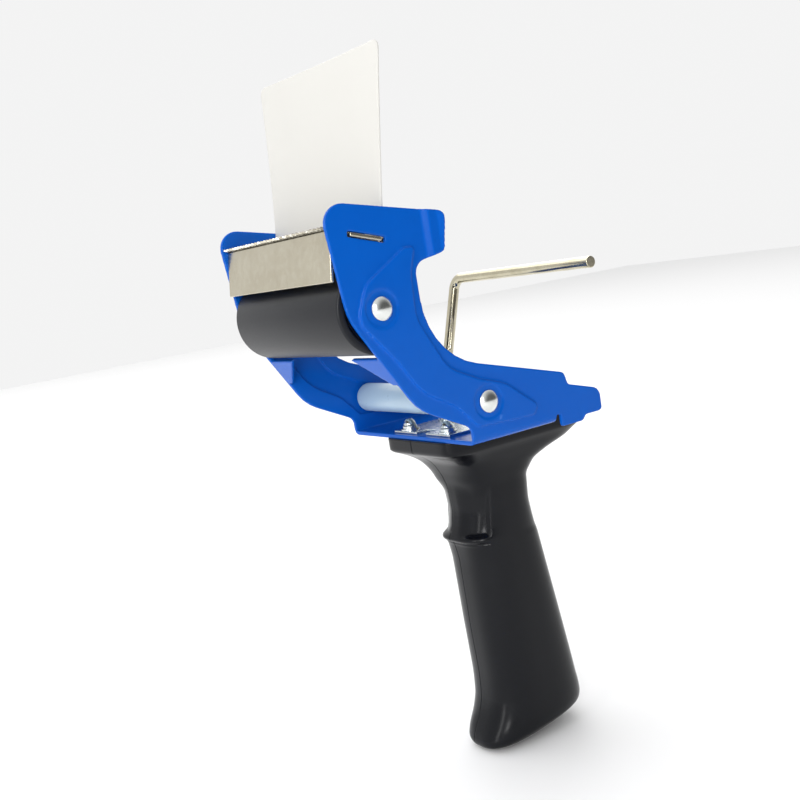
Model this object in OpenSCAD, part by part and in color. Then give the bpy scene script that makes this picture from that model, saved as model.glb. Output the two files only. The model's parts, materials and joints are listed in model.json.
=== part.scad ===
// Hand-held tape dispenser for 3 inch packing tape.
// X runs from the cutting edge to the tail, Y from the near plate to the far plate, Z up.
// The origin is on the underside of the web, midway between the side plates.

/* [Tape] */
// Width of the tape that runs between the side plates
tape_w = 76; // [60:1:92]
// Room between the tape and the side plates, both sides together
tape_gap = 1; // [0.5:0.1:2]

/* [Frame] */
// Thickness of the sheet steel
sheet_t = 1.5; // [1:0.1:2]
// Height of the stiffening panels above the plates
panel_h = 1; // [0.6:0.1:1.4]
// Outer radius of the bends between the web and the plates
bend_r = 2.5; // [2:0.1:3.5]
// Front edge of the web
web_front = -19; // [-22:0.5:-18]
// Rear edge of the web
web_rear = 17.5; // [15:0.5:18]
// Rear end of the side plates
tail_x = 38.9; // [36:0.1:46]
// How far the nose of each plate steps outwards
nose_step = 1.5; // [1:0.1:2]

/* [Front roller] */
// Distance of the front axle ahead of the origin
front_axle_x = 46.4; // [44:0.1:56]
// Height of the front axle
front_axle_z = 50.6; // [46:0.1:61]
// Diameter of the rubber sleeve
roller_d = 29; // [24:0.5:35]
// Wall of the rubber sleeve
sleeve_t = 3; // [2:0.1:4]
// Wall of the core tube
core_t = 2; // [1.5:0.1:3]

/* [Guide roller] */
// Distance of the rear axle ahead of the origin
rear_axle_x = 11.2; // [10:0.1:12]
// Height of the rear axle
rear_axle_z = 13.7; // [13:0.1:15]
// Diameter of the guide roller
guide_d = 11; // [9:0.1:13.2]

/* [Axles] */
// Diameter of both riveted pins
axle_d = 6; // [5:0.1:7.2]
// Diameter of the domed heads
head_d = 7.8; // [7.4:0.1:9.4]
// Height of the domed heads
head_h = 2.2; // [1.8:0.1:3]
// Depth of the round seats pressed in the panels under the heads
seat_h = 0.3; // [0.2:0.05:0.5]

/* [Guard and blade] */
// Thickness of the guard strip
guard_t = 1.2; // [0.8:0.1:1.5]
// Depth of the guard's top flange
guard_depth = 20; // [18:0.5:22]
// Thickness of the blade
blade_t = 0.8; // [0.5:0.1:1]
// Number of teeth
teeth = 32; // [24:1:40]
// Length of the teeth in front of the guard
tooth_len = 2.2; // [1.5:0.1:3]

/* [Flap] */
// Free length of the plastic flap above its bend line
flap_len = 54.1; // [40:0.1:66]
// Thickness of the plastic sheet
flap_t = 0.5; // [0.4:0.05:0.8]

/* [Roll rod] */
// Diameter of the rod
rod_d = 4.2; // [3.5:0.1:5.1]
// Distance of the arm behind the origin
arm_x = 41.5; // [38:0.1:50]
// Height of the arm
arm_z = 52.8; // [45:0.1:64]

/* [Clamp] */
// Thickness of the zinc plate
clamp_t = 1; // [0.8:0.1:1.5]
// Width of the zinc plate
clamp_w = 36; // [34:0.2:40]
// Diameter of the clamp screws
screw_d = 3.2; // [3:0.1:4.4]

/* [Handle] */
// Length of the handle below the web
handle_len = 122.5; // [102:0.5:147]
// Width of the grip
grip_w = 30; // [26:0.5:36]
// Width of the flange under the web
flange_w = 42; // [40:0.5:46]
// Wall of the handle halves
handle_t = 2.6; // [2:0.1:3.2]

/* [Hidden] */

$fn = 64;
arc_step = 12;      // degrees between the points of a rounded corner
run_gap = 0.05;     // radial clearance of a roller on its pin
hole_gap = 0.2;     // radial clearance of a screw or rivet in its hole
end_gap = 0.2;      // clearance at each end of a roller
side_gap = 0.4;     // from a roller's end to the flat of the plate
cut = 1;            // overshoot of a cut past the face it opens
far = 60;           // reach of a shape that must clear the whole nose

// Across the width
half_in = (tape_w + tape_gap) / 2;
half_out = half_in + sheet_t;
panel_in = half_in + panel_h;
panel_out = half_out + panel_h;
roller_half = half_in - side_gap;

// The head: everything round the front roller
head = [-front_axle_x, front_axle_z];
head_front = head.x - roller_d / 2;
tail_axle = [-rear_axle_x, rear_axle_z];

// Relief notches between the web's bends and the tail
notch_w = 2;
notch_h = bend_r + 0.2;
tail_drop = 1.9;    // how far the tail's lower lobe hangs below the web

// Side plate corners [x, z, radius], from the top front corner down and round
plate_corners = [
    [head_front - 0.8, head.y + 35, 6.5],
    [head_front + 2.6, head.y - 1.5, 20],
    [web_front - 19.4, 16.3, 18],
    [web_front, 6.4, 3.5],
    [web_front, 0, 0],
    [web_rear, 0, 0],
    [web_rear, notch_h, 0.9],
    [web_rear + notch_w, notch_h, 0.9],
    [web_rear + notch_w, -tail_drop, 0.8],
    [tail_x - 9.5, -tail_drop, 2],
    [tail_x - 7.9, 0, 1.5],
    [tail_x, 0, 1.6],
    [tail_x, 8.1, 4],
    [tail_x - 14.3, 12.3, 1.6],
    [tail_x - 15.4, 16.8, 2.5],
    [head.x + 15.4, 32.1, 25],
    [head.x + 15.4, head.y + 11.9, 4.5],
    [head.x + 26.4, head.y + 14.3, 1.8],
    [head.x + 28.5, head.y + 27.2, 2.8]];

// Stiffening panel corners [x, z, radius], the same way round
panel_corners = [
    [head.x + 11.6, head.y + 17.4, 1.5],
    [head.x - 4.1, head.y + 8.2, 6],
    [head.x - 8.1, head.y - 0.6, 5],
    [head.x - 7.8, head.y - 4.3, 2],
    [head.x + 2.9, head.y - 17.6, 4],
    [web_front - 17.5, 21.8, 20],
    [web_front - 5, 14.6, 8],
    [web_front + 2.5, 6.2, 3],
    [7.5, 5.2, 2],
    [9.5, 8.2, 1.8],
    [-3, 18.2, 10],
    [-13.5, 21.8, 15],
    [head.x + 21.4, 27.5, 12],
    [head.x + 12.1, head.y - 5.1, 12],
    [head.x + 12.9, head.y + 9.4, 12],
    [head.x + 15.8, head.y + 17.4, 1]];

// Nose: the plate steps out, runs flat and flares at its rear edge [x, step]
nose_z = head.y + 9;
nose_path = [
    [head.x + 20.2, 0],
    [head.x + 22.5, nose_step],
    [head.x + 25.5, nose_step],
    [head.x + 30, nose_step * 2.4]];

// Front tabs, bent inwards from the plates below the front roller
tab_top_z = head.y - roller_d / 2 - 1.1;
tab_drop = 9.4;
tab_reach_top = 18.5;
tab_reach_low = 4;

// Guard: its front corner, the slope of its flange and the lean of its face and lip
guard_corner = [head_front + 2, head.y + 26.3];
guard_slope = 15;
guard_face_lean = 8.7;
guard_face_len = 15.9;
guard_w = 2 * half_in - 0.2;
guard_tab = [6.4, 17.8];
guard_tab_proud = 0.4;
guard_slot = [5.7, 19.2];
guard_slot_room = 0.3;
lip_foot = guard_corner + guard_depth * [cos(guard_slope), -sin(guard_slope)];
lip_lean = 8.3;
lip_len = 6.4;

// Flap: the bend line lies this far up the lip's direction
flap_bend_at = 7.4;
flap_side = 0.5;            // from the flap's edge to the plate
flap_w = 2 * (half_in - flap_side);
flap_corner_r = 3;
bend_gap = 0.3;
bar_t = 1;
bar_from = 1.4;
root_below = 0.4;           // the sheet's end below the bar
bar_to = 6.2;
rivet_d = 2.4;
rivet_head_d = 4;
rivet_head_h = 0.6;
flap_rivet_at = 3.8;
flap_rivet_y = [-0.68, 0, 0.68] * half_in;

// Blade
blade_depth = 13;
blade_w = 2 * (half_in - 0.5);
blade_rivet_at = 8.5;
blade_rivet_y = [-0.74, 0.74] * half_in;

// Rollers
axle_r = axle_d / 2;
seat_r = head_d / 2 + 2.2;
seat_y = panel_out - seat_h;
core_r = roller_d / 2 - sleeve_t;
bush_r = core_r - core_t;
bush_flange = 1.2;
bush_len = 8;
front_washer_r = 5;
guide_washer_r = 4.4;

// Rod
rod_r = rod_d / 2;
rod_flat = 0.3;             // the leg is pressed flat by this much where it is welded
rod_lean = 17.6;
rod_bend = 4.5;
rod_y = half_out + rod_r - rod_flat;
rod_foot_z = 4;
rod_overhang = 1.5;         // past the near plate's outer face

// Clamp
clamp_y = -4.6;
clamp_x = [web_front + 2.1, web_front + 27];
clamp_notch = [5, 6];
screw_x = [web_front + 5.6, web_front + 22.6];
screw_half_y = 12.2;
screw_y = [clamp_y - screw_half_y, clamp_y + screw_half_y];
washer_t = 0.5;
washer_r = screw_d * 1.02 + 0.3;
spring_t = 1;
spring_r = screw_d * 0.85;
spring_slit = 0.8;
pan_r = screw_d * 0.72;
pan_h = 2.6;
cross_w = 0.8;
cross_half = pan_r * 0.6;
cross_floor = pan_h * 0.45;
clamp_top = sheet_t + clamp_t;
nut_top = -3;
nut_h = 3.2;
nut_r = screw_d * 1.01;
nut_room = 0.05;
screw_tip = -7;
screw_end_gap = 0.5;

// Handle: sections [share of the length, front, rear, half width, squareness]
handle_y = -4;
seam_y = -1.5;
flange_half = flange_w / 2;
grip_half = grip_w / 2;
handle_sections = [
    [0, -20, 42.6, flange_half, 11],
    [0.043, -20, 42.6, flange_half, 11],
    [0.051, -18.4, 42.6, flange_half - 0.6, 9],
    [0.066, -15.6, 42.4, grip_half + 4.4, 6],
    [0.082, -12.6, 40.4, grip_half + 3, 4.5],
    [0.1, -10.9, 31, grip_half + 1.8, 4],
    [0.122, -9.8, 24.8, grip_half + 0.8, 3.4],
    [0.163, -7.4, 21.8, grip_half, 2.8],
    [0.245, -6.9, 21.4, grip_half, 2.8],
    [0.294, -8.2, 22.2, grip_half, 2.8],
    [0.33, -9.9, 23.2, grip_half, 2.8],
    [0.384, -7.2, 24.2, grip_half, 2.8],
    [0.49, -7.2, 26.2, grip_half, 2.8],
    [0.72, -6.8, 30.4, grip_half, 2.8],
    [0.85, -7, 32.6, grip_half, 2.8],
    [0.9, -9, 33.4, grip_half, 2.8],
    [0.94, -11.8, 33.8, grip_half - 0.5, 2.8],
    [0.965, -12.6, 33.2, grip_half - 1.5, 2.8],
    [0.985, -11.8, 31.6, grip_half - 3.2, 2.8],
    [1, -8.4, 28, grip_half - 6, 2.5]];
heel_from = 0.85;           // the share of the length below which the heel rises
heel_rise = 5.5;
section_points = 40;
cavity = [0.1, 0.965];      // the hollow's reach, as shares of the length
boss_at = [0.27, 0.6, 0.87];
boss_r = 4;
boss_half = grip_half - handle_t / 2;
boss_screw_r = 1.5;
boss_head_r = 3;
boss_head_h = 2;
boss_head_sunk = 4.2;       // from the grip's side to the screw head's seat
boss_screw_len = 17;

// A direction of length 1
function unit(v) = v / norm(v);

// v turned by a degrees
function turned(v, a) = [v.x * cos(a) - v.y * sin(a), v.x * sin(a) + v.y * cos(a)];

// The arc that rounds corner b between its neighbours a and c
function corner_arc(a, b, c, r) =
    let(u = unit(a - b),
        v = unit(c - b),
        half = acos(u * v) / 2,
        turn = 180 - 2 * half,
        centre = b + unit(u + v) * r / sin(half),
        start = b + u * r / tan(half) - centre,
        way = -sign(cross(u, v)),
        steps = max(1, ceil(turn / arc_step)))
    r == 0 ? [b] : [for (i = [0:steps]) centre + turned(start, way * turn * i / steps)];

// A closed outline from corners [x, z, radius]
function rounded(c) =
    let(n = len(c))
    [for (i = [0:n - 1])
        let(a = c[(i + n - 1) % n], b = c[i], d = c[(i + 1) % n])
        each corner_arc([a.x, a.y], [b.x, b.y], [d.x, d.y], b[2])];

// The same corners moved inwards by d
function inset(c, d) =
    let(n = len(c))
    [for (i = [0:n - 1])
        let(a = c[(i + n - 1) % n],
            b = c[i],
            e = c[(i + 1) % n],
            p = turned(unit([b.x - a.x, b.y - a.y]), 90),
            q = turned(unit([e.x - b.x, e.y - b.y]), 90),
            move = (p + q) * d / (1 + p * q),
            r = cross(p, q) > 0 ? b[2] - d : b[2] + d)
        [b.x + move.x, b.y + move.y, max(r, 0.3)]];

// The share that a superellipse of squareness n gives to a cosine or sine
function squared(t, n) = sign(t) * pow(abs(t), 2 / n);

// The place where a leaning direction is d up from a foot
function along(foot, lean, d) = foot + d * [sin(lean), cos(lean)];

// The outline of a bent strip: its path, and back along the path moved to its right by t
function strip(path, t) =
    let(last = len(path) - 1,
        normals = [for (i = [0:last - 1]) turned(unit(path[i + 1] - path[i]), -90)])
    concat(path, [for (i = [last:-1:0])
        let(p = normals[max(i - 1, 0)], q = normals[min(i, last - 1)])
        path[i] + (p + q) * t / (1 + p * q)]);

// The guard's outer side, from the foot of its face over the flange to the top of its lip
guard_path = [
    guard_corner - guard_face_len * [sin(guard_face_lean), cos(guard_face_lean)],
    guard_corner,
    lip_foot,
    along(lip_foot, lip_lean, lip_len)];

// Extrudes an outline in X and Z from y0 to y1
module across(y0, y1) {
    translate([0, y1, 0]) rotate([90, 0, 0]) linear_extrude(y1 - y0) children();
}

// A pin along Y
module pin(at, r, y0, y1) {
    across(y0, y1) translate(at) circle(r);
}

// Local frame at a point in X and Z, its x pointing down by the given angle
module leaning(at, down) {
    translate([at.x, 0, at.y]) rotate([0, down, 0]) children();
}

// The same thing at both sides of the middle
module both_sides() {
    children();
    mirror([0, 1, 0]) children();
}

// A domed head that stands on z = 0
module dome(r, h) {
    rim = h * 0.25;
    ball = (r * r + (h - rim) * (h - rim)) / (2 * (h - rim));
    rise = asin(r / ball);
    rotate_extrude()
        polygon([[0, 0], [r, 0],
            for (i = [0:8])
                let(a = rise * (1 - i / 8)) [ball * sin(a), h - ball + ball * cos(a)]]);
}

// A closed skin through rings of points, the first ring on top
module skin(rings) {
    n = len(rings[0]);
    last = len(rings) - 1;
    polyhedron(
        points = [for (ring = rings) each ring],
        faces = [
            [for (i = [n - 1:-1:0]) i],
            for (k = [0:last - 1], i = [0:n - 1])
                let(j = (i + 1) % n)
                each [[k * n + i, k * n + j, (k + 1) * n + j],
                    [k * n + i, (k + 1) * n + j, (k + 1) * n + i]],
            [for (i = [0:n - 1]) last * n + i]]);
}

// One ring of the handle, made smaller by a wall; the low rings tilt up towards the heel
function handle_ring(s, wall) =
    let(front = s[1] + wall, rear = s[2] - wall, half = s[3] - wall,
        rise = heel_rise * max(0, s[0] - heel_from) / (1 - heel_from))
    [for (i = [0:section_points - 1])
        let(a = 360 * i / section_points,
            back = (1 + squared(cos(a), s[4])) / 2)
        [front + (rear - front) * back,
            handle_y + half * squared(sin(a), s[4]),
            rise * back - s[0] * handle_len]];

module handle_outside() {
    skin([for (s = handle_sections) handle_ring(s, 0)]);
}

module handle_hollow() {
    skin([for (s = handle_sections)
        if (s[0] >= cavity[0] && s[0] <= cavity[1]) handle_ring(s, handle_t)]);
}

// Middle of the grip at a share of its length
function grip_middle(share) =
    lookup(share, [for (s = handle_sections) [s[0], (s[1] + s[2]) / 2]]);

// The places of the screws that join the halves, as [x, z]
boss_places = [for (s = boss_at) [grip_middle(s), -s * handle_len]];
boss_seat_y = handle_y + grip_half - boss_head_sunk;

module screw_places() {
    for (x = screw_x, y = screw_y)
        translate([x, y, 0]) children();
}

// What both halves share before they are parted
module handle_body() {
    difference() {
        union() {
            difference() {
                handle_outside();
                handle_hollow();
            }
            for (at = boss_places)
                pin(at, boss_r, handle_y - boss_half, handle_y + boss_half);
        }
        screw_places()
            translate([0, 0, screw_tip - screw_end_gap])
                cylinder(h = screw_end_gap - screw_tip + cut, r = screw_d / 2 + hole_gap);
        screw_places()
            translate([0, 0, nut_top - nut_h - nut_room])
                cylinder(h = nut_h + 2 * nut_room, r = nut_r + nut_room, $fn = 6);
    }
}

// Everything on one side of the seam
module half_space(side) {
    size = 2 * handle_len;
    translate([-size / 2, side > 0 ? seam_y : seam_y - size, -size]) cube([size, size, size + cut]);
}

module plate_flat() {
    difference() {
        across(half_in, half_out) polygon(rounded(plate_corners));
        translate([nose_path[0].x, half_in - cut, nose_z])
            cube([far, sheet_t + 2 * cut, far]);
    }
}

module plate_nose() {
    inner = [for (p = nose_path) [p.x, half_in + p.y]];
    outer = [for (i = [len(nose_path) - 1:-1:0]) [nose_path[i].x, half_out + nose_path[i].y]];
    intersection() {
        translate([0, 0, nose_z]) linear_extrude(far) polygon(concat(inner, outer));
        across(0, half_out * 2) polygon(rounded(plate_corners));
    }
}

module plate_tab() {
    top = plate_corners[1];
    low = plate_corners[2];
    run = [low.x - top.x, low.y - top.y];
    share = (top.y - tab_top_z) / (top.y - low.y);
    foot = [top.x + run.x * share, tab_top_z];
    len_tab = tab_drop * norm(run) / (top.y - low.y);
    leaning(foot, -atan2(run.y, run.x))
        linear_extrude(sheet_t)
            polygon([[0, half_out], [0, half_out - tab_reach_top],
                [len_tab, half_out - tab_reach_low], [len_tab, half_out]]);
}

module side_plate() {
    difference() {
        union() {
            plate_flat();
            plate_nose();
            across(half_in, panel_out) polygon(rounded(panel_corners));
        }
        across(half_in - cut, panel_in) polygon(rounded(inset(panel_corners, sheet_t)));
        for (at = [head, tail_axle])
            pin(at, axle_r + run_gap, half_in - cut, panel_out + cut);
        for (at = [head, tail_axle])
            pin(at, seat_r, seat_y, panel_out + cut);
        leaning(guard_corner, guard_slope)
            translate([guard_slot[0], half_in - cut, -guard_t - guard_slot_room])
                cube([guard_slot[1] - guard_slot[0], sheet_t + 2 * cut,
                    guard_t + 2 * guard_slot_room]);
    }
    plate_tab();
}

module bend_corner() {
    long = web_rear - web_front + 2 * cut;
    translate([web_front - cut, half_out - bend_r, bend_r]) rotate([0, 90, 0])
        difference() {
            cube([bend_r + cut, bend_r + cut, long]);
            cylinder(h = long, r = bend_r);
        }
}

module frame() {
    color([0.08, 0.37, 0.76])
        difference() {
            union() {
                both_sides() side_plate();
                translate([web_front, -half_in - sheet_t / 2, 0])
                    cube([web_rear - web_front, 2 * half_in + sheet_t, sheet_t]);
            }
            both_sides()
                intersection() {
                    bend_corner();
                    translate([web_front - cut, 0, -cut])
                        cube([web_rear - web_front + cut, 2 * half_out, 2 * bend_r]);
                }
            screw_places()
                translate([0, 0, -cut]) cylinder(h = sheet_t + 2 * cut, r = screw_d / 2 + hole_gap);
        }
}

module blade_guard() {
    color([0.78, 0.76, 0.70])
        difference() {
            union() {
                across(-guard_w / 2, guard_w / 2) polygon(strip(guard_path, guard_t));
                leaning(guard_corner, guard_slope)
                    translate([guard_tab[0], -half_out - guard_tab_proud, -guard_t])
                        cube([guard_tab[1] - guard_tab[0], 2 * (half_out + guard_tab_proud),
                            guard_t]);
            }
            blade_rivet_places()
                translate([0, 0, -guard_t - cut]) cylinder(h = guard_t + 2 * cut, d = rivet_d);
            flap_rivet_places()
                translate([0, 0, -guard_t - cut]) cylinder(h = guard_t + 2 * cut, d = rivet_d);
        }
}

module blade_rivet_places() {
    leaning(guard_corner, guard_slope)
        for (y = blade_rivet_y)
            translate([blade_rivet_at, y, 0]) children();
}

module flap_rivet_places() {
    leaning(lip_foot, lip_lean - 90)
        for (y = flap_rivet_y)
            translate([flap_rivet_at, y, 0]) children();
}

// A rivet through a stack from z0 to z1, with a low head at each end
module rivet(z0, z1) {
    translate([0, 0, z0]) cylinder(h = z1 - z0, d = rivet_d);
    translate([0, 0, z1]) dome(rivet_head_d / 2, rivet_head_h);
    translate([0, 0, z0]) mirror([0, 0, 1]) dome(rivet_head_d / 2, rivet_head_h);
}

module blade() {
    pitch = blade_w / teeth;
    edge = [for (i = [0:teeth - 1]) each [[0, blade_w / 2 - pitch * i],
        [-tooth_len, blade_w / 2 - pitch * (i + 0.5)]]];
    color([0.7, 0.69, 0.65])
        difference() {
            leaning(guard_corner, guard_slope)
                linear_extrude(blade_t)
                    polygon(concat(edge, [[0, -blade_w / 2], [blade_depth, -blade_w / 2],
                        [blade_depth, blade_w / 2]]));
            blade_rivet_places()
                translate([0, 0, -cut]) cylinder(h = blade_t + 2 * cut, d = rivet_d);
        }
}

module blade_rivets() {
    color([0.75, 0.74, 0.7])
        blade_rivet_places() rivet(-guard_t, blade_t);
}

module flap() {
    corners = [[0, -flap_w / 2, 0], [flap_len, -flap_w / 2, flap_corner_r],
        [flap_len, flap_w / 2, flap_corner_r], [0, flap_w / 2, 0]];
    color([0.9, 0.9, 0.88, 0.8])
        leaning(along(lip_foot, lip_lean, flap_bend_at), lip_lean - 90) {
            linear_extrude(flap_t) polygon(rounded(corners));
            translate([0, 0, flap_t / 2]) rotate([90, 0, 0])
                cylinder(h = flap_w, d = flap_t, center = true);
        }
}

module flap_root() {
    top = flap_bend_at - flap_t / 2 - bend_gap;
    color([0.9, 0.9, 0.88, 0.8])
        difference() {
            leaning(lip_foot, lip_lean - 90)
                translate([bar_from - root_below, -flap_w / 2, 0])
                    cube([top - bar_from + root_below, flap_w, flap_t]);
            flap_rivet_places()
                translate([0, 0, -cut]) cylinder(h = flap_t + 2 * cut, d = rivet_d);
        }
}

module flap_bar() {
    color([0.72, 0.71, 0.67])
        difference() {
            leaning(lip_foot, lip_lean - 90)
                translate([bar_from, -flap_w / 2, flap_t]) cube([bar_to - bar_from, flap_w, bar_t]);
            flap_rivet_places()
                translate([0, 0, flap_t - cut]) cylinder(h = bar_t + 2 * cut, d = rivet_d);
        }
}

module flap_rivets() {
    color([0.75, 0.74, 0.7])
        flap_rivet_places() rivet(-guard_t, flap_t + bar_t);
}

module roller_sleeve() {
    color([0.2, 0.2, 0.21])
        difference() {
            pin(head, roller_d / 2, -roller_half, roller_half);
            pin(head, core_r, -roller_half - cut, roller_half + cut);
        }
}

module roller_core() {
    core_half = roller_half - bush_flange;
    color([0.75, 0.75, 0.72])
        difference() {
            pin(head, core_r, -core_half, core_half);
            pin(head, bush_r, -core_half - cut, core_half + cut);
        }
}

module roller_bushes() {
    flange_y = roller_half - bush_flange;
    color([0.15, 0.15, 0.16])
        both_sides()
            difference() {
                union() {
                    pin(head, core_r, flange_y, roller_half);
                    pin(head, bush_r, flange_y - bush_len, flange_y);
                }
                pin(head, axle_r + run_gap, flange_y - bush_len - cut, roller_half + cut);
            }
}

// A pin through both plates with a domed head outside each
module riveted_pin(at) {
    pin(at, axle_r, -seat_y, seat_y);
    both_sides()
        translate([at.x, seat_y, at.y]) rotate([-90, 0, 0]) dome(head_d / 2, head_h);
}

module front_axle() {
    color([0.85, 0.85, 0.82]) riveted_pin(head);
}

module rear_axle() {
    color([0.85, 0.85, 0.82]) riveted_pin(tail_axle);
}

// The spacing washers between a roller's ends and the hollows of the panels
module end_washers(at, r) {
    both_sides()
        difference() {
            pin(at, r, roller_half + end_gap, panel_in);
            pin(at, axle_r + run_gap, roller_half, panel_in + cut);
        }
}

module front_washers() {
    color([0.8, 0.8, 0.78]) end_washers(head, front_washer_r);
}

module guide_washers() {
    color([0.8, 0.8, 0.78]) end_washers(tail_axle, guide_washer_r);
}

module guide_roller() {
    color([0.86, 0.9, 0.94])
        difference() {
            pin(tail_axle, guide_d / 2, -roller_half, roller_half);
            pin(tail_axle, axle_r + run_gap, -roller_half - cut, roller_half + cut);
        }
}

module roll_rod() {
    arm_len = rod_y + half_out + rod_overhang;
    leg_len = (arm_z - rod_foot_z) / cos(rod_lean);
    color([0.8, 0.78, 0.72])
        difference() {
            translate([arm_x, rod_y, arm_z]) rotate([0, rod_lean, 0]) {
                translate([0, 0, -leg_len]) cylinder(h = leg_len - rod_bend, r = rod_r);
                translate([0, -rod_bend, -rod_bend]) rotate([0, 90, 0]) rotate([0, 0, 90])
                    rotate_extrude(angle = 90) translate([rod_bend, 0]) circle(rod_r);
                translate([0, -rod_bend, 0]) rotate([90, 0, 0])
                    cylinder(h = arm_len - rod_bend, r = rod_r);
            }
            translate([0, 0, -tail_drop]) cube([arm_x, half_out, arm_z / 2]);
        }
}

module clamp_plate() {
    color([0.82, 0.84, 0.84])
        difference() {
            translate([clamp_x[0], clamp_y - clamp_w / 2, sheet_t])
                cube([clamp_x[1] - clamp_x[0], clamp_w, clamp_t]);
            for (x = [clamp_x[0] - cut, clamp_x[1] - clamp_notch[0]])
                translate([x, clamp_y - clamp_notch[1] / 2, sheet_t - cut])
                    cube([clamp_notch[0] + cut, clamp_notch[1], clamp_t + 2 * cut]);
            screw_places() cylinder(h = clamp_top + cut, r = screw_d / 2 + hole_gap);
        }
}

// A ring on z = 0
module ring(outer, inner, h) {
    difference() {
        cylinder(h = h, r = outer);
        translate([0, 0, -cut]) cylinder(h = h + 2 * cut, r = inner);
    }
}

module flat_washers() {
    color([0.82, 0.84, 0.84])
        screw_places() translate([0, 0, clamp_top]) ring(washer_r, screw_d / 2 + hole_gap, washer_t);
}

module spring_washers() {
    color([0.7, 0.72, 0.72])
        screw_places() translate([0, 0, clamp_top + washer_t])
            difference() {
                ring(spring_r, screw_d / 2 + hole_gap, spring_t);
                translate([0, -spring_slit / 2, -cut])
                    cube([2 * spring_r, spring_slit, spring_t + 2 * cut]);
            }
}

module clamp_screws() {
    seat = clamp_top + washer_t + spring_t;
    color([0.82, 0.84, 0.84])
        screw_places()
            difference() {
                union() {
                    translate([0, 0, screw_tip]) cylinder(h = seat - screw_tip, d = screw_d);
                    translate([0, 0, seat]) dome(pan_r, pan_h);
                }
                for (a = [0, 90])
                    rotate([0, 0, a]) translate([-cross_half, -cross_w / 2, seat + cross_floor])
                        cube([2 * cross_half, cross_w, pan_h]);
            }
}

module clamp_nuts() {
    color([0.82, 0.84, 0.84])
        screw_places() translate([0, 0, nut_top - nut_h])
            difference() {
                cylinder(h = nut_h, r = nut_r, $fn = 6);
                translate([0, 0, -cut]) cylinder(h = nut_h + 2 * cut, d = screw_d);
            }
}

module handle_near_half() {
    color([0.12, 0.12, 0.13])
        difference() {
            intersection() {
                handle_body();
                half_space(-1);
            }
            for (at = boss_places)
                pin(at, boss_screw_r, boss_seat_y - boss_screw_len, seam_y + cut);
        }
}

module handle_far_half() {
    color([0.12, 0.12, 0.13])
        difference() {
            intersection() {
                handle_body();
                half_space(1);
            }
            for (at = boss_places) {
                pin(at, boss_screw_r + hole_gap, seam_y - cut, boss_seat_y + cut);
                pin(at, boss_head_r + hole_gap, boss_seat_y, boss_seat_y + boss_head_sunk + cut);
            }
        }
}

module handle_screws() {
    color([0.4, 0.4, 0.42])
        for (at = boss_places) {
            pin(at, boss_screw_r, boss_seat_y - boss_screw_len, boss_seat_y);
            pin(at, boss_head_r, boss_seat_y, boss_seat_y + boss_head_h);
        }
}

frame();
blade_guard();
blade();
blade_rivets();
flap();
flap_root();
flap_bar();
flap_rivets();
roller_sleeve();
roller_core();
roller_bushes();
front_axle();
front_washers();
guide_roller();
rear_axle();
guide_washers();
roll_rod();
clamp_plate();
flat_washers();
spring_washers();
clamp_screws();
clamp_nuts();
handle_near_half();
handle_far_half();
handle_screws();
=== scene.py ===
"""Looks of a hand-held tape dispenser: painted frame, nickel guard and blade, plastic flap,
rubber and plastic rollers, bent rod, clamp screws and a black moulded grip."""
import json
import math

import bpy
import numpy as np
from mathutils import Matrix, Vector

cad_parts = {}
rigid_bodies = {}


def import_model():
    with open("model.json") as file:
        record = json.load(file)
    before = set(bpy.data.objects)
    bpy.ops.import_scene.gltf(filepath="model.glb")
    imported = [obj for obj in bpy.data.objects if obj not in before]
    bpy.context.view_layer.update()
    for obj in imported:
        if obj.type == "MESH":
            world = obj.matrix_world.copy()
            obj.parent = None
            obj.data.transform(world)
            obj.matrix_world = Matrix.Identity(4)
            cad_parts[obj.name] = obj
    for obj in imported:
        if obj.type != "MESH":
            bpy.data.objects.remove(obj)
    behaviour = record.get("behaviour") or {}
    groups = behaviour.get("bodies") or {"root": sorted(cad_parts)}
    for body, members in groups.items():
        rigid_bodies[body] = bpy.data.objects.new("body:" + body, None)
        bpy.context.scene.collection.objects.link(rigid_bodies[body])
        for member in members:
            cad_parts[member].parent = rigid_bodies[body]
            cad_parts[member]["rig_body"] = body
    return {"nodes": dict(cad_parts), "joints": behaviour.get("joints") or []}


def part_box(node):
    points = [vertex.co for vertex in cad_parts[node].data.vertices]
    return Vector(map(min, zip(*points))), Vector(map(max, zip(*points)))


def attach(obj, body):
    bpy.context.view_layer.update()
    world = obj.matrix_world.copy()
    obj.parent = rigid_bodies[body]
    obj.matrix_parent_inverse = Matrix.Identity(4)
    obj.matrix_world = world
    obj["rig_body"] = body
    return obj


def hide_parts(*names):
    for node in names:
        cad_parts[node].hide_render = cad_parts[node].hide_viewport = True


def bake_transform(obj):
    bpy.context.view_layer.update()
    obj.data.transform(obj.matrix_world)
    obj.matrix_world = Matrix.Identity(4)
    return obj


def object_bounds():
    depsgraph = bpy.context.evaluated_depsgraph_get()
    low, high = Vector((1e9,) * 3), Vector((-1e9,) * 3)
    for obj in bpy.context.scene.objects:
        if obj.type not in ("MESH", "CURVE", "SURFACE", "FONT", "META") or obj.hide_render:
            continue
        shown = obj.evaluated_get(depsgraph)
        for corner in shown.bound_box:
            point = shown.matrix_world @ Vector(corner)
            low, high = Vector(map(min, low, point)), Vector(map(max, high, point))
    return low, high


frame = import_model()
cad_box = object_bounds()

MM = 0.001
PIN_R = 3 * MM              # radius of both riveted pins
GUIDE_BORE_R = 3.05 * MM    # bore of the guide roller
HEAD_RIM, HEAD_CROWN = 0.5 * MM, 1.7 * MM


# ---------------------------------------------------------------- modelling helpers

def deselect():
    if bpy.context.mode != "OBJECT":
        bpy.ops.object.mode_set(mode="OBJECT")
    bpy.ops.object.select_all(action="DESELECT")


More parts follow.
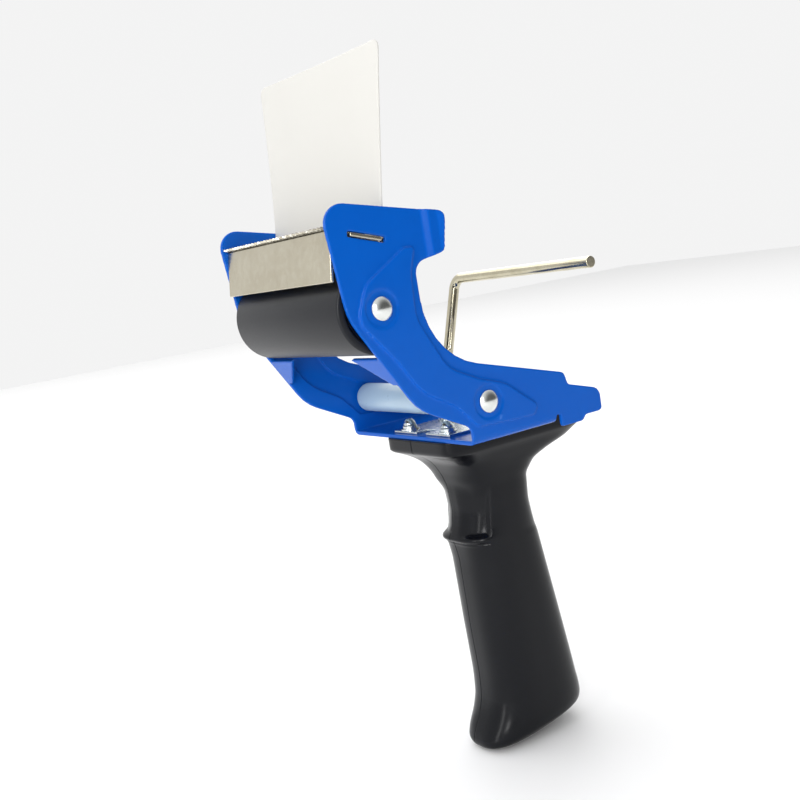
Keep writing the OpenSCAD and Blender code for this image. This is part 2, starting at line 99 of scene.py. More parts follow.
def pick(obj):
    """Selects one object and makes it the active one."""
    deselect()
    obj.select_set(True)
    bpy.context.view_layer.objects.active = obj
    return obj


def named(name):
    """Names the object that was just added."""
    obj = bpy.context.object
    obj.name = name
    obj.data.name = name
    return obj


def settle(obj):
    """Moves the object's place, turn and scale into its mesh."""
    pick(obj)
    bpy.ops.object.transform_apply(location=True, rotation=True, scale=True)
    return obj


def modify(obj, kind, **values):
    """Adds a modifier with these values and applies it."""
    pick(obj)
    modifier = obj.modifiers.new(kind.lower(), kind)
    for key, value in values.items():
        setattr(modifier, key, value)
    bpy.ops.object.modifier_apply(modifier=modifier.name)
    return obj


def smooth(obj, degrees=35):
    pick(obj)
    bpy.ops.object.shade_smooth_by_angle(angle=math.radians(degrees))
    return obj


def merged_copy(node, name, merge=0.004 * MM):
    """A copy of a CAD node with its corners joined."""
    source = frame["nodes"][node]
    obj = bpy.data.objects.new(name, source.data.copy())
    bpy.context.scene.collection.objects.link(obj)
    obj.data.name = name
    obj.data.materials.clear()
    pick(obj)
    bpy.ops.object.mode_set(mode="EDIT")
    bpy.ops.mesh.select_all(action="SELECT")
    bpy.ops.mesh.remove_doubles(threshold=merge)
    bpy.ops.object.mode_set(mode="OBJECT")
    return obj


def traced(node, name, flat=0.3):
    """A copy of a CAD node with its triangles joined into clean faces."""
    obj = merged_copy(node, name)
    pick(obj)
    bpy.ops.object.mode_set(mode="EDIT")
    bpy.ops.mesh.select_all(action="SELECT")
    bpy.ops.mesh.dissolve_limited(angle_limit=math.radians(flat), use_dissolve_boundaries=False)
    bpy.ops.object.mode_set(mode="OBJECT")
    return obj


def eased(obj, width, segments=2, angle=28):
    """Rounds every sharp edge, as pressing, moulding or tumbling does."""
    return modify(obj, "BEVEL", width=width, segments=segments, limit_method="ANGLE",
                  angle_limit=math.radians(angle), use_clamp_overlap=False,
                  miter_outer="MITER_ARC", harden_normals=False)


def middle(node_name):
    low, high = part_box(node_name)
    return (low + high) / 2, (high - low) / 2


def kept(obj, body, slot, material, *nodes):
    """Puts a finished piece on its body in place of its CAD nodes."""
    obj.data.materials.clear()
    obj.data.materials.append(material)
    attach(obj, body)
    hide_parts(*nodes)
    return obj


# ---------------------------------------------------------------- material helpers

def effect(name, inputs, outputs):
    """An empty shader node group with float inputs and these outputs."""
    tree = bpy.data.node_groups.new(name, "ShaderNodeTree")
    for label, value in inputs:
        socket = tree.interface.new_socket(label, in_out="INPUT", socket_type="NodeSocketFloat")
        socket.default_value = value
    for label in outputs:
        tree.interface.new_socket(label, in_out="OUTPUT", socket_type="NodeSocketFloat")
    return tree, tree.nodes.new("NodeGroupInput"), tree.nodes.new("NodeGroupOutput")


def node(tree, kind, **values):
    made = tree.nodes.new(kind)
    for key, value in values.items():
        setattr(made, key, value)
    return made


def join(tree, source, target):
    tree.links.new(source, target)


def build_grain():
    """Fine even grain: a moulded or baked surface seen close."""
    tree, start, end = effect("grain", [("Scale", 900.0), ("Detail", 3.0)], ["Value"])
    place = node(tree, "ShaderNodeTexCoord")
    noise = node(tree, "ShaderNodeTexNoise")
    join(tree, place.outputs["Object"], noise.inputs["Vector"])
    join(tree, start.outputs["Scale"], noise.inputs["Scale"])
    join(tree, start.outputs["Detail"], noise.inputs["Detail"])
    join(tree, noise.outputs["Fac"], end.inputs["Value"])
    return tree


def build_streaks():
    """Long fine lines along Y: rolled or drawn metal."""
    tree, start, end = effect("streaks", [("Fineness", 1.0)], ["Value"])
    place = node(tree, "ShaderNodeTexCoord")
    stretch = node(tree, "ShaderNodeMapping")
    stretch.inputs["Scale"].default_value = (2600, 26, 2600)
    noise = node(tree, "ShaderNodeTexNoise")
    noise.inputs["Detail"].default_value = 4
    join(tree, place.outputs["Object"], stretch.inputs["Vector"])
    join(tree, stretch.outputs["Vector"], noise.inputs["Vector"])
    join(tree, start.outputs["Fineness"], noise.inputs["Scale"])
    join(tree, noise.outputs["Fac"], end.inputs["Value"])
    return tree


def build_mottle():
    """Slow cloudy change of shade across a part."""
    tree, start, end = effect("mottle", [("Scale", 60.0), ("Contrast", 1.0)], ["Mask"])
    place = node(tree, "ShaderNodeTexCoord")
    noise = node(tree, "ShaderNodeTexNoise")
    noise.inputs["Detail"].default_value = 5
    noise.inputs["Roughness"].default_value = 0.62
    low = node(tree, "ShaderNodeMath", operation="SUBTRACT")
    low.inputs[1].default_value = 0.5
    gain = node(tree, "ShaderNodeMath", operation="MULTIPLY")
    back = node(tree, "ShaderNodeMath", operation="ADD", use_clamp=True)
    back.inputs[1].default_value = 0.5
    join(tree, place.outputs["Object"], noise.inputs["Vector"])
    join(tree, start.outputs["Scale"], noise.inputs["Scale"])
    join(tree, noise.outputs["Fac"], low.inputs[0])
    join(tree, low.outputs[0], gain.inputs[0])
    join(tree, start.outputs["Contrast"], gain.inputs[1])
    join(tree, gain.outputs[0], back.inputs[0])
    join(tree, back.outputs[0], end.inputs["Mask"])
    return tree


def build_edge_wear_and_sheen():
    """A broken mask along sharp edges: rubbing wear on the metals and plastic, and on the blue
    enamel a painted edge highlight.
    """
    tree, start, end = effect("edge_wear_and_sheen", [("Amount", 0.5), ("Scale", 400.0)], ["Mask"])
    shape = node(tree, "ShaderNodeNewGeometry")
    place = node(tree, "ShaderNodeTexCoord")
    sharp = node(tree, "ShaderNodeMapRange")
    sharp.inputs["From Min"].default_value = 0.53
    sharp.inputs["From Max"].default_value = 0.6
    noise = node(tree, "ShaderNodeTexNoise")
    noise.inputs["Detail"].default_value = 6
    broken = node(tree, "ShaderNodeMapRange")
    broken.inputs["From Min"].default_value = 0.45
    broken.inputs["From Max"].default_value = 0.62
    both = node(tree, "ShaderNodeMath", operation="MULTIPLY")
    scaled = node(tree, "ShaderNodeMath", operation="MULTIPLY", use_clamp=True)
    join(tree, shape.outputs["Pointiness"], sharp.inputs["Value"])
    join(tree, place.outputs["Object"], noise.inputs["Vector"])
    join(tree, start.outputs["Scale"], noise.inputs["Scale"])
    join(tree, noise.outputs["Fac"], broken.inputs["Value"])
    join(tree, sharp.outputs["Result"], both.inputs[0])
    join(tree, broken.outputs["Result"], both.inputs[1])
    join(tree, both.outputs[0], scaled.inputs[0])
    join(tree, start.outputs["Amount"], scaled.inputs[1])
    join(tree, scaled.outputs[0], end.inputs["Mask"])
    return tree


def build_dust():
    """A thin film that lies on what faces up."""
    tree, start, end = effect("dust", [("Amount", 0.1)], ["Mask"])
    shape = node(tree, "ShaderNodeNewGeometry")
    place = node(tree, "ShaderNodeTexCoord")
    split = node(tree, "ShaderNodeSeparateXYZ")
    noise = node(tree, "ShaderNodeTexNoise")
    noise.inputs["Scale"].default_value = 700
    noise.inputs["Detail"].default_value = 8
    facing = node(tree, "ShaderNodeMapRange")
    facing.inputs["From Min"].default_value = 0.2
    specks = node(tree, "ShaderNodeMapRange")
    specks.inputs["From Min"].default_value = 0.42
    specks.inputs["From Max"].default_value = 0.75
    both = node(tree, "ShaderNodeMath", operation="MULTIPLY")
    scaled = node(tree, "ShaderNodeMath", operation="MULTIPLY", use_clamp=True)
    join(tree, shape.outputs["Normal"], split.inputs[0])
    join(tree, split.outputs["Z"], facing.inputs["Value"])
    join(tree, place.outputs["Object"], noise.inputs["Vector"])
    join(tree, noise.outputs["Fac"], specks.inputs["Value"])
    join(tree, facing.outputs["Result"], both.inputs[0])
    join(tree, specks.outputs["Result"], both.inputs[1])
    join(tree, both.outputs[0], scaled.inputs[0])
    join(tree, start.outputs["Amount"], scaled.inputs[1])
    join(tree, scaled.outputs[0], end.inputs["Mask"])
    return tree


GRAIN = build_grain()
STREAKS = build_streaks()
MOTTLE = build_mottle()
EDGE_WEAR_AND_SHEEN = build_edge_wear_and_sheen()
DUST = build_dust()


def placed(tree, group, **values):
    made = node(tree, "ShaderNodeGroup", node_tree=group)
    for key, value in values.items():
        made.inputs[key].default_value = value
    return made


def mixed(tree, mask, first, second):
    """A colour that goes from first to second as the mask goes from 0 to 1."""
    mix = node(tree, "ShaderNodeMix", data_type="RGBA")
    join(tree, mask, mix.inputs[0])
    for socket, colour in ((mix.inputs[6], first), (mix.inputs[7], second)):
        if isinstance(colour, tuple):
            socket.default_value = (*colour, 1)
        else:
            join(tree, colour, socket)
    return mix.outputs[2]


def finish_of(name, colour, shade, rough, spread, texture, texture_values, bump, mottle=(60, 1.0),
              wear_and_sheen=0.0, worn_and_sheen_tint=(0.5, 0.5, 0.5), dust=0.06, **fixed):
    """A material: cloudy colour, edge wear (a painted edge highlight on the blue enamel) and dust
    over a grained or streaked surface.
    """
    made = bpy.data.materials.new(name)
    made.use_nodes = True
    tree = made.node_tree
    shader = tree.nodes["Principled BSDF"]
    for key, value in fixed.items():
        shader.inputs[key.replace("_", " ")].default_value = value
    clouds = placed(tree, MOTTLE, Scale=mottle[0], Contrast=mottle[1])
    grain = placed(tree, texture, **texture_values)
    film = placed(tree, DUST, Amount=dust)
    tint = mixed(tree, clouds.outputs["Mask"], colour, shade)
    # Edge tint: real rubbing wear on the metals and plastic, a painted edge highlight on the blue
    # enamel.
    if wear_and_sheen:
        edges = placed(tree, EDGE_WEAR_AND_SHEEN, Amount=wear_and_sheen)
        tint = mixed(tree, edges.outputs["Mask"], tint, worn_and_sheen_tint)
    tint = mixed(tree, film.outputs["Mask"], tint, (0.6, 0.58, 0.54))
    join(tree, tint, shader.inputs["Base Color"])
    gloss = node(tree, "ShaderNodeMapRange")
    gloss.inputs["To Min"].default_value = rough - spread
    gloss.inputs["To Max"].default_value = rough + spread
    join(tree, grain.outputs["Value"], gloss.inputs["Value"])
    dulled = node(tree, "ShaderNodeMath", operation="ADD", use_clamp=True)
    join(tree, gloss.outputs["Result"], dulled.inputs[0])
    join(tree, film.outputs["Mask"], dulled.inputs[1])
    join(tree, dulled.outputs[0], shader.inputs["Roughness"])
    relief = node(tree, "ShaderNodeBump")
    relief.inputs["Strength"].default_value = 1
    relief.inputs["Distance"].default_value = bump
    join(tree, grain.outputs["Value"], relief.inputs["Height"])
    join(tree, relief.outputs["Normal"], shader.inputs["Normal"])
    return made


# The lighter blue along the edges is a painted edge highlight, broken up by the mask's noise.
BLUE = finish_of("blue_enamel", (0.0015, 0.1, 0.505), (0.001, 0.085, 0.45), 0.17, 0.04,
                 GRAIN, {"Scale": 420.0}, 0.004 * MM, wear_and_sheen=0.35, worn_and_sheen_tint=(0.1, 0.28, 0.7), dust=0.02,
                 Specular_IOR_Level=0.16)
NICKEL = finish_of("nickel_plate", (0.62, 0.58, 0.46), (0.5, 0.45, 0.34), 0.24, 0.07,
                   STREAKS, {}, 0.0006 * MM, mottle=(70, 1.5), wear_and_sheen=0.3, worn_and_sheen_tint=(0.8, 0.78, 0.7),
                   dust=0.02, Metallic=1.0)
BLADE = finish_of("blade_steel", (0.2, 0.185, 0.15), (0.1, 0.09, 0.07), 0.24, 0.08,
                  STREAKS, {}, 0.001 * MM, mottle=(150, 1.8), wear_and_sheen=0.4, worn_and_sheen_tint=(0.8, 0.79, 0.74),
                  dust=0.02, Metallic=1.0)
ROD = finish_of("nickel_rod", (0.62, 0.58, 0.45), (0.45, 0.41, 0.29), 0.16, 0.05,
                STREAKS, {"Fineness": 0.7}, 0.0008 * MM, mottle=(160, 2.0), dust=0.02, Metallic=1.0)
RIVET = finish_of("rivet_steel", (0.8, 0.82, 0.8), (0.66, 0.68, 0.66), 0.2, 0.06,
                  GRAIN, {"Scale": 900.0}, 0.002 * MM, mottle=(300, 1.6), dust=0.02, Metallic=1.0)
ZINC = finish_of("zinc_plate", (0.66, 0.71, 0.72), (0.44, 0.5, 0.53), 0.22, 0.07,
                 GRAIN, {"Scale": 900.0}, 0.0015 * MM, mottle=(250, 2.2), wear_and_sheen=0.3,
                 worn_and_sheen_tint=(0.85, 0.86, 0.85), dust=0.03, Metallic=1.0)
RUBBER = finish_of("ground_rubber", (0.011, 0.012, 0.015), (0.007, 0.008, 0.011), 0.4, 0.07,
                   GRAIN, {"Scale": 2600.0}, 0.004 * MM, mottle=(80, 1.4), dust=0.015,
                   Specular_IOR_Level=0.3)
BLACK = finish_of("black_plastic", (0.0028, 0.0034, 0.0056), (0.002, 0.0025, 0.0042), 0.24, 0.05,
                  GRAIN, {"Scale": 1400.0}, 0.0016 * MM, mottle=(70, 1.4), wear_and_sheen=0.2,
                  worn_and_sheen_tint=(0.03, 0.03, 0.035), dust=0.006, Specular_IOR_Level=0.22)
CORE = finish_of("core_plastic", (0.7, 0.7, 0.66), (0.62, 0.62, 0.58), 0.4, 0.05,
                 GRAIN, {"Scale": 900.0}, 0.003 * MM)
CLEAR = finish_of("milky_roller", (0.5, 0.66, 0.8), (0.44, 0.6, 0.75), 0.3, 0.06,
                  GRAIN, {"Scale": 1000.0}, 0.002 * MM, mottle=(50, 1.2), dust=0.01,
                  Transmission_Weight=0.2, IOR=1.5)
SHEET = finish_of("milky_sheet", (0.68, 0.67, 0.635), (0.655, 0.645, 0.61), 0.34, 0.05,
                  GRAIN, {"Scale": 1800.0}, 0.001 * MM, mottle=(25, 1.0), dust=0.01,
                  Alpha=0.94, IOR=1.45)


# ---------------------------------------------------------------- pieces traced from the CAD

def softened(piece, grid, passes, share):
    """An even skin over the piece, rounded like drawn and painted sheet, then thinned out."""
    modify(piece, "REMESH", mode="VOXEL", voxel_size=grid, adaptivity=0)
    modify(piece, "SMOOTH", factor=0.5, iterations=passes)
    modify(piece, "DECIMATE", decimate_type="COLLAPSE", ratio=share)
    return smooth(piece, 80)


def pressed_frame():
    """The U-shaped pressing with soft panel edges and rolled sheet edges."""
    plate = merged_copy("frame", "pressed_frame")
    softened(plate, 0.3 * MM, 4, 0.38)
    kept(plate, "root", "blue_paint", BLUE, "frame")


def zinc_clamp():
    plate = merged_copy("clamp_plate", "zinc_clamp")
    softened(plate, 0.14 * MM, 3, 0.14)
    kept(plate, "root", "zinc_steel", ZINC, "clamp_plate")


def metal_piece(node_name, name, slot, material, width=0, segments=2):
    """A node's copy with eased edges; turned pieces keep their own round edges."""
    if width:
        piece = eased(traced(node_name, name), width, segments)
    else:
        piece = merged_copy(node_name, name)
    smooth(piece, 40)
    if width:
        modify(piece, "WEIGHTED_NORMAL", mode="FACE_AREA", weight=60, keep_sharp=True)
    body = frame["nodes"][node_name]["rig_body"]
    return kept(piece, body, slot, material, node_name)


def metal_pieces():
    metal_piece("blade_guard", "guard_strip", "nickel_strip", NICKEL, 0.35 * MM, 3)
    metal_piece("blade", "toothed_blade", "blade_steel", BLADE, 0.08 * MM, 1)
    metal_piece("blade_rivets", "blade_rivet_heads", "nickel_strip", NICKEL)
    metal_piece("flap_bar", "clamping_bar", "nickel_strip", NICKEL, 0.2 * MM)
    metal_piece("flap_rivets", "flap_rivet_heads", "nickel_strip", NICKEL)
    metal_piece("roll_rod", "bent_rod", "nickel_rod", ROD, 0.3 * MM, 3)
    metal_piece("flat_washers", "plain_washers", "zinc_steel", ZINC)
    metal_piece("spring_washers", "split_washers", "zinc_steel", ZINC)
    metal_piece("clamp_screws", "pan_screws", "zinc_steel", ZINC)
    metal_piece("front_washers", "front_spacers", "bright_steel", RIVET)
    metal_piece("guide_washers", "guide_spacers", "bright_steel", RIVET)
    metal_piece("roller_bushes", "end_bushes", "black_plastic", BLACK)
    metal_piece("handle_screws", "grip_screws", "bright_steel", RIVET)


def rivet_head(centre, side, radius, rim, crown):
    """A domed head: a ball cut to a cap, its cut face drawn out to a short rim."""
    ball = (radius ** 2 + crown ** 2) / (2 * crown)
    deselect()
    bpy.ops.mesh.primitive_uv_sphere_add(
        segments=96, ring_count=96, radius=ball, rotation=(math.pi / 2, 0, 0),
        location=centre + Vector((0, side * (rim + crown - ball), 0)))
    head = settle(named("rivet_head"))
    bpy.ops.object.mode_set(mode="EDIT")
    bpy.ops.mesh.select_all(action="SELECT")
    cut = centre + Vector((0, side * rim, 0))
    bpy.ops.mesh.bisect(plane_co=cut, plane_no=(0, side, 0), use_fill=True, clear_inner=True)
    bpy.ops.mesh.extrude_region_move(TRANSFORM_OT_translate={"value": (0, -side * rim, 0)})
    bpy.ops.mesh.select_all(action="SELECT")
    bpy.ops.mesh.normals_make_consistent(inside=False)
    bpy.ops.object.mode_set(mode="OBJECT")
    eased(head, 0.25 * MM, 4, 40)
    return head


def rivet(node_name, name, body):
    """A pin through both plates with a domed head at each end."""
    middle_at, reach = middle(node_name)
    seat = reach.y - HEAD_RIM - HEAD_CROWN
    deselect()
    bpy.ops.mesh.primitive_cylinder_add(vertices=64, radius=PIN_R, depth=2 * seat,
                                        location=middle_at, rotation=(math.pi / 2, 0, 0))
    shank = settle(named(name))
    heads = [rivet_head(middle_at + Vector((0, side * seat, 0)), side, reach.x, HEAD_RIM, HEAD_CROWN)
             for side in (-1, 1)]
    deselect()
    for part in (shank, *heads):
        part.select_set(True)
    bpy.context.view_layer.objects.active = shank
    bpy.ops.object.join()
    smooth(shank, 30)
    kept(shank, body, "bright_steel", RIVET, node_name)


def rivets():
    rivet("front_axle", "front_rivet", "root")
    rivet("rear_axle", "rear_rivet", "root")


def inner_pieces():
    """Nodes that nothing shows keep their CAD shape and get a finish."""
    for name, material in (("roller_core", CORE), ("clamp_nuts", ZINC)):
        inner = frame["nodes"][name]
        inner.data.materials.clear()
        inner.data.materials.append(material)


# ---------------------------------------------------------------- rollers

def tube_along_y(name, centre, outer, inner, half, corner, sides=128):
    """A tube modelled from a cylinder: bored, with eased rims."""
    deselect()
    bpy.ops.mesh.primitive_cylinder_add(vertices=sides, radius=outer, depth=2 * half,
                                        end_fill_type="NGON", location=centre,
                                        rotation=(math.pi / 2, 0, 0))
    tube = settle(named(name))
    bpy.ops.object.mode_set(mode="EDIT")
    bpy.ops.mesh.select_mode(type="FACE")
    bpy.ops.mesh.select_all(action="DESELECT")
    bpy.ops.object.mode_set(mode="OBJECT")
    for face in tube.data.polygons:
        face.select = abs(face.normal.y) > 0.9
    bpy.ops.object.mode_set(mode="EDIT")
    bpy.ops.mesh.inset(thickness=outer - inner, use_individual=True)
    bpy.ops.mesh.bridge_edge_loops()
    bpy.ops.object.mode_set(mode="OBJECT")
    eased(tube, corner, segments=4, angle=50)
    return smooth(tube, 30)


def rollers():
    bore = middle("roller_core")[1].x
    centre, half = middle("roller_sleeve")
    sleeve = tube_along_y("rubber_sleeve", centre, half.x, bore, half.y, 0.8 * MM)
    kept(sleeve, "front_roller", "dark_rubber", RUBBER, "roller_sleeve")
    centre, half = middle("guide_roller")
    guide = tube_along_y("guide_tube", centre, half.x, GUIDE_BORE_R, half.y, 0.7 * MM, 96)
    kept(guide, "rear_roller", "clear_plastic", CLEAR, "guide_roller")


# ---------------------------------------------------------------- plastic flap

def flap_sheet():
    """One sheet from the clamp to its rounded top, slightly bowed and twisted."""
    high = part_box("flap")[1]
    root_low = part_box("flap_root")[0]
    joint = next(j for j in frame["joints"] if j["name"] == "flap_bend")
    bend = Vector(joint["pos_m"])
    top = Vector((high.x - 0.25 * MM, 0, high.z))
    up = Vector((top.x - bend.x, 0, top.z - bend.z)).normalized()
    lower = (bend.z - root_low.z) / up.z
    upper = (top.z - bend.z) / up.z
    half_w = high.y
    thick = 0.45 * MM
    corner = 3 * MM
    bow = 0.8 * MM
    twist = 2.2 * MM
    forward = 1 * MM
    deselect()
    bpy.ops.mesh.primitive_grid_add(x_subdivisions=72, y_subdivisions=48, size=2, location=(0, 0, 0))
    sheet = named("plastic_flap")
    away = Vector((0, 1, 0)).cross(up)
    for vertex in sheet.data.vertices:
        share = (vertex.co.x + 1) / 2
        along = -lower + (lower + upper) * share
        across = vertex.co.y * half_w
        over_x, over_y = along - (upper - corner), abs(across) - (half_w - corner)
        if over_x > 0 and over_y > 0:
            pull = min(1.0, corner / math.hypot(over_x, over_y))
            along = upper - corner + over_x * pull
            across = math.copysign(half_w - corner + over_y * pull, across)
        free = max(0.0, along / upper)
        side = across / half_w
        lift = free ** 1.5 * (bow * (1 - side * side) - twist * side - forward)
        vertex.co = bend + up * along + Vector((0, across, 0)) + away * lift
    modify(sheet, "SOLIDIFY", thickness=thick, offset=0)
    eased(sheet, 0.1 * MM, 2, 60)
    smooth(sheet, 40)
    sheet.data.materials.append(SHEET)
    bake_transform(sheet)
    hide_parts("flap", "flap_root")


# ---------------------------------------------------------------- handle

# [height, front, rear, half width, squareness, rounding] in millimetres
GRIP_SECTIONS = np.array([
    (0, -20, 42.6, 21, 13, 0.1),
    (-0.6, -20, 42.6, 21, 13, 0.1),
    (-4.6, -20, 42.6, 21, 13, 0.3),
    (-5.5, -19.2, 42.6, 20.8, 11, 0.4),
    (-6.4, -17.2, 42.4, 20, 8, 0.5),
    (-8, -14.6, 41.6, 19, 6, 0.5),
    (-10, -12.3, 39.4, 18.1, 4.6, 0.8),
    (-12, -10.9, 33, 17.2, 4, 1),
    (-15, -9.2, 25.8, 16.2, 3.4, 1),
    (-20, -7.4, 21.8, 15.3, 3, 1.2),
    (-30, -6.9, 21.4, 15, 2.8, 1.2),
    (-36, -8.2, 22.2, 15, 2.8, 0.8),
    (-40.2, -10.4, 23, 15, 2.8, 0.5),
    (-42.6, -8.2, 23.6, 15, 2.8, 0.5),
    (-48, -7.2, 24.4, 15, 2.8, 1.5),
    (-60, -7.1, 26.2, 15, 2.8, 2),
    (-75, -7, 28.5, 15, 2.8, 2),
    (-95, -6.6, 31.4, 15, 2.8, 2),
    (-104, -7.2, 32.6, 15, 2.8, 2),
    (-110, -9.2, 33.4, 15, 2.8, 2),
    (-116, -12.6, 33.8, 14.9, 2.8, 1),
    (-119.5, -13.9, 33.4, 14.3, 2.8, 0.8),
    (-121.6, -13.4, 31.8, 12.8, 2.8, 0.5),
    (-122.5, -10.4, 28.4, 9.8, 2.6, 0.2)])
GRIP_Y = -4.0
SEAM_Y = -1.5
RECESS_TOP, RECESS_FLOOR, RECESS_REAR = -21.0, -39.6, -3.2
RECESS_DEPTH, RECESS_EDGE, RECESS_LEAN = 1.5, 1.1, 0.13
LEDGE_Z, LEDGE_HALF, LEDGE_DEPTH, LEDGE_REAR = -41.6, 0.55, 0.6, -1.5
HEEL_FROM, HEEL_RISE = -104.0, 6.5
SIDES = 256


def section_at(z):
    """Front, rear, half width and squareness at a height, with soft changes between sections."""
    heights = -GRIP_SECTIONS[:, 0]
    reach = np.interp(-z, heights, GRIP_SECTIONS[:, 5])
    spots = -z + reach * np.linspace(-1, 1, 7)
    return [float(np.mean(np.interp(spots, heights, GRIP_SECTIONS[:, k]))) for k in range(1, 5)]


def step(value, low, high):
    """A soft step from 0 to 1."""
    t = np.clip((value - low) / (high - low), 0, 1)
    return t * t * (3 - 2 * t)


def evened(values, reach=7):
    """Each value's mean with its neighbours round the ring."""
    return sum(np.roll(values, k) for k in range(-reach, reach + 1)) / (2 * reach + 1)


def grip_ring(z):
    """One ring of the grip's skin in millimetres: evenly spaced points from the rear round."""
    front, rear, half, square = section_at(z)
    angle = np.linspace(0, 2 * math.pi, 1441)
    c, s = np.cos(angle), np.sin(angle)
    x = (front + rear) / 2 + (rear - front) / 2 * np.sign(c) * np.abs(c) ** (2 / square)
    y = half * np.sign(s) * np.abs(s) ** (2 / square)
    way = np.concatenate([[0], np.cumsum(np.hypot(np.diff(x), np.diff(y)))])
    even = np.linspace(0, way[-1], SIDES, endpoint=False)
    x, y = np.interp(even, way, x), np.interp(even, way, y)
    out_x, out_y = np.roll(y, -1) - np.roll(y, 1), np.roll(x, 1) - np.roll(x, -1)
    out_x, out_y = evened(out_x), evened(out_y)
    size = np.hypot(out_x, out_y)
    out_x, out_y = out_x / size, out_y / size
    rear_edge = RECESS_REAR + RECESS_LEAN * (z - RECESS_FLOOR)
    pressed = step(rear_edge - x, -RECESS_EDGE, RECESS_EDGE) * step(np.abs(y), 1.5, 9.5)
    pressed *= step(z, RECESS_FLOOR - 0.2, RECESS_FLOOR + 2.2)
    pressed *= 1 - step(z, RECESS_TOP - 3, RECESS_TOP + 3)
    depth = pressed * RECESS_DEPTH
    near = abs(z - LEDGE_Z) / LEDGE_HALF
    if near < 1:
        depth = depth + LEDGE_DEPTH * (1 - near * near) * step(LEDGE_REAR - x, 0, 2.5)
    x, y = x - out_x * depth, y - out_y * depth
    low = np.clip((HEEL_FROM - z) / (HEEL_FROM - GRIP_SECTIONS[-1, 0]), 0, 1)
    tilt = HEEL_RISE * low * (x - front) / (rear - front)
    return np.stack([x, y + GRIP_Y, z + tilt], axis=1)


def ring_heights():
    """Heights of the rings: close where the shape turns, wider along the plain grip."""
    stretches = [(0, -12.5, 36), (-12.5, -17.5, 10), (-17.5, -24.5, 18), (-24.5, -36, 14),
                 (-36, -43.5, 34), (-43.5, -104, 36), (-104, -118, 18), (-118, -122.5, 18)]
    heights = [0.0]
    for high, low, count in stretches:
        heights += [high + (low - high) * (i + 1) / count for i in range(count)]
    return heights


def grip_blank():
    """The whole grip: a cylinder cut into rings, each ring drawn to its section."""
    heights = ring_heights()
    deselect()
    bpy.ops.mesh.primitive_cylinder_add(vertices=SIDES, radius=1, depth=1, end_fill_type="NGON")
    blank = named("grip_blank")
    bpy.ops.object.mode_set(mode="EDIT")
    bpy.ops.mesh.select_mode(type="EDGE")
    bpy.ops.mesh.select_all(action="DESELECT")
    bpy.ops.object.mode_set(mode="OBJECT")
    for edge in blank.data.edges:
        ends = [blank.data.vertices[i].co.z for i in edge.vertices]
        edge.select = abs(ends[0] - ends[1]) > 0.5
    bpy.ops.object.mode_set(mode="EDIT")
    bpy.ops.mesh.subdivide(number_cuts=len(heights) - 2)
    bpy.ops.object.mode_set(mode="OBJECT")
    last = len(heights) - 1
    rings = [grip_ring(z) * MM for z in heights]
    for vertex in blank.data.vertices:
        ring = round((0.5 - vertex.co.z) * last)
        angle = math.atan2(vertex.co.y, vertex.co.x)
        vertex.co = rings[ring][round(angle / (2 * math.pi) * SIDES) % SIDES]
    blank.data.update()
    return blank


def grip_half(blank, name, keep_near, node_name):
    """One moulded half: cut at the seam, capped, with an eased parting edge."""
    half = bpy.data.objects.new(name, blank.data.copy())
    bpy.context.scene.collection.objects.link(half)
    half.data.name = name
    pick(half)
    bpy.ops.object.mode_set(mode="EDIT")
    bpy.ops.mesh.select_all(action="SELECT")
    bpy.ops.mesh.bisect(plane_co=(0, SEAM_Y * MM, 0), plane_no=(0, 1, 0), use_fill=True,
                        clear_outer=keep_near, clear_inner=not keep_near)
    bpy.ops.mesh.normals_make_consistent(inside=False)
    bpy.ops.object.mode_set(mode="OBJECT")
    eased(half, 0.28 * MM, 2, 50)
    smooth(half, 40)
    return kept(half, "root", "black_plastic", BLACK, node_name)


def handle():
    blank = grip_blank()
    grip_half(blank, "grip_near", True, "handle_near_half")
    grip_half(blank, "grip_far", False, "handle_far_half")
    bpy.data.objects.remove(blank)


# ---------------------------------------------------------------- stage, lights and camera

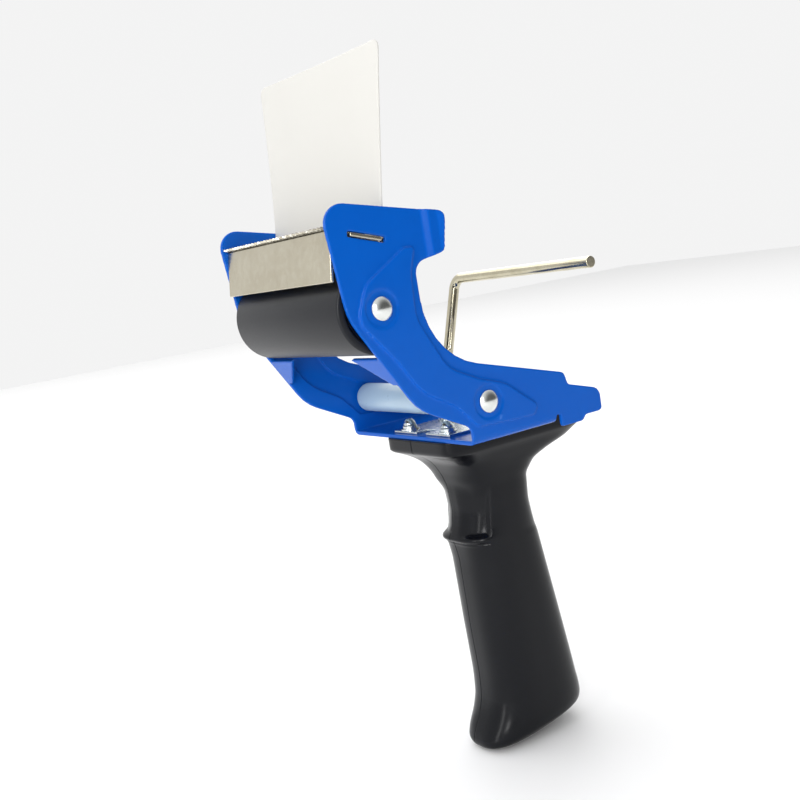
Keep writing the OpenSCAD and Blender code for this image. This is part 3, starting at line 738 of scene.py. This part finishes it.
def stage():
    floor_z = cad_box[0].z - 0.5 * MM
    deselect()
    bpy.ops.mesh.primitive_plane_add(size=6, location=(0, 0, floor_z))
    floor = named("floor")
    paper = bpy.data.materials.new("pale_floor")
    paper.use_nodes = True
    shader = paper.node_tree.nodes["Principled BSDF"]
    shader.inputs["Base Color"].default_value = (0.93, 0.93, 0.93, 1)
    shader.inputs["Roughness"].default_value = 0.9
    shader.inputs["Specular IOR Level"].default_value = 0.1
    floor.data.materials.append(paper)
    world = bpy.data.worlds.new("studio")
    world.use_nodes = True
    tree = world.node_tree
    tree.nodes["Background"].inputs["Color"].default_value = (1, 1, 1, 1)
    way = node(tree, "ShaderNodeTexCoord")
    facing = node(tree, "ShaderNodeVectorMath", operation="DOT_PRODUCT")
    facing.inputs[1].default_value = (0.55, -0.82, -0.1)
    shade = node(tree, "ShaderNodeMapRange", interpolation_type="SMOOTHSTEP")
    shade.inputs["From Min"].default_value = 0.2
    shade.inputs["From Max"].default_value = 0.85
    shade.inputs["To Min"].default_value = 0.9
    shade.inputs["To Max"].default_value = 0.12
    join(tree, way.outputs["Generated"], facing.inputs[0])
    join(tree, facing.outputs["Value"], shade.inputs["Value"])
    join(tree, shade.outputs["Result"], tree.nodes["Background"].inputs["Strength"])
    bpy.context.scene.world = world
    bpy.context.scene.view_settings.view_transform = "Standard"


def soft_light(name, place, aim, size, power):
    lamp = bpy.data.lights.new(name, "AREA")
    lamp.shape = "RECTANGLE"
    lamp.size, lamp.size_y = size
    lamp.energy = power
    made = bpy.data.objects.new(name, lamp)
    bpy.context.scene.collection.objects.link(made)
    made.location = place
    made.rotation_mode = "QUATERNION"
    made.rotation_quaternion = (Vector(aim) - Vector(place)).to_track_quat("-Z", "Y")


def lights():
    soft_light("key", (-0.62, -0.72, 0.3), (0, 0, 0.02), (0.2, 0.55), 3.6)
    soft_light("left", (-0.9, -0.3, 0.25), (0, 0, 0.02), (0.1, 0.8), 1.6)
    soft_light("back", (0.6, 0.8, 0.5), (0, 0, 0.02), (0.5, 0.5), 1.6)
    soft_light("top", (0, 1.4, 2.2), (0, 0.7, -0.1), (3, 3), 34)


def camera():
    """The eye stands in front of the near plate and looks a little down, with a small roll."""
    data = bpy.data.cameras.new("camera")
    data.sensor_width = 36
    data.lens = 48.9
    data.shift_x = -0.0168
    data.shift_y = 0.0554
    made = bpy.data.objects.new("camera", data)
    bpy.context.scene.collection.objects.link(made)
    azimuth, elevation, roll = (math.radians(a) for a in (-31.75, 9.77, -9.5))
    turn = (Matrix.Rotation(azimuth, 4, "Z") @ Matrix.Rotation(math.pi / 2 - elevation, 4, "X")
            @ Matrix.Rotation(roll, 4, "Z"))
    made.matrix_world = Matrix.Translation((-0.2235, -0.3322, 0.0654)) @ turn
    bpy.context.scene.camera = made


pressed_frame()
zinc_clamp()
metal_pieces()
rivets()
inner_pieces()
rollers()
flap_sheet()
handle()
stage()
lights()
camera()
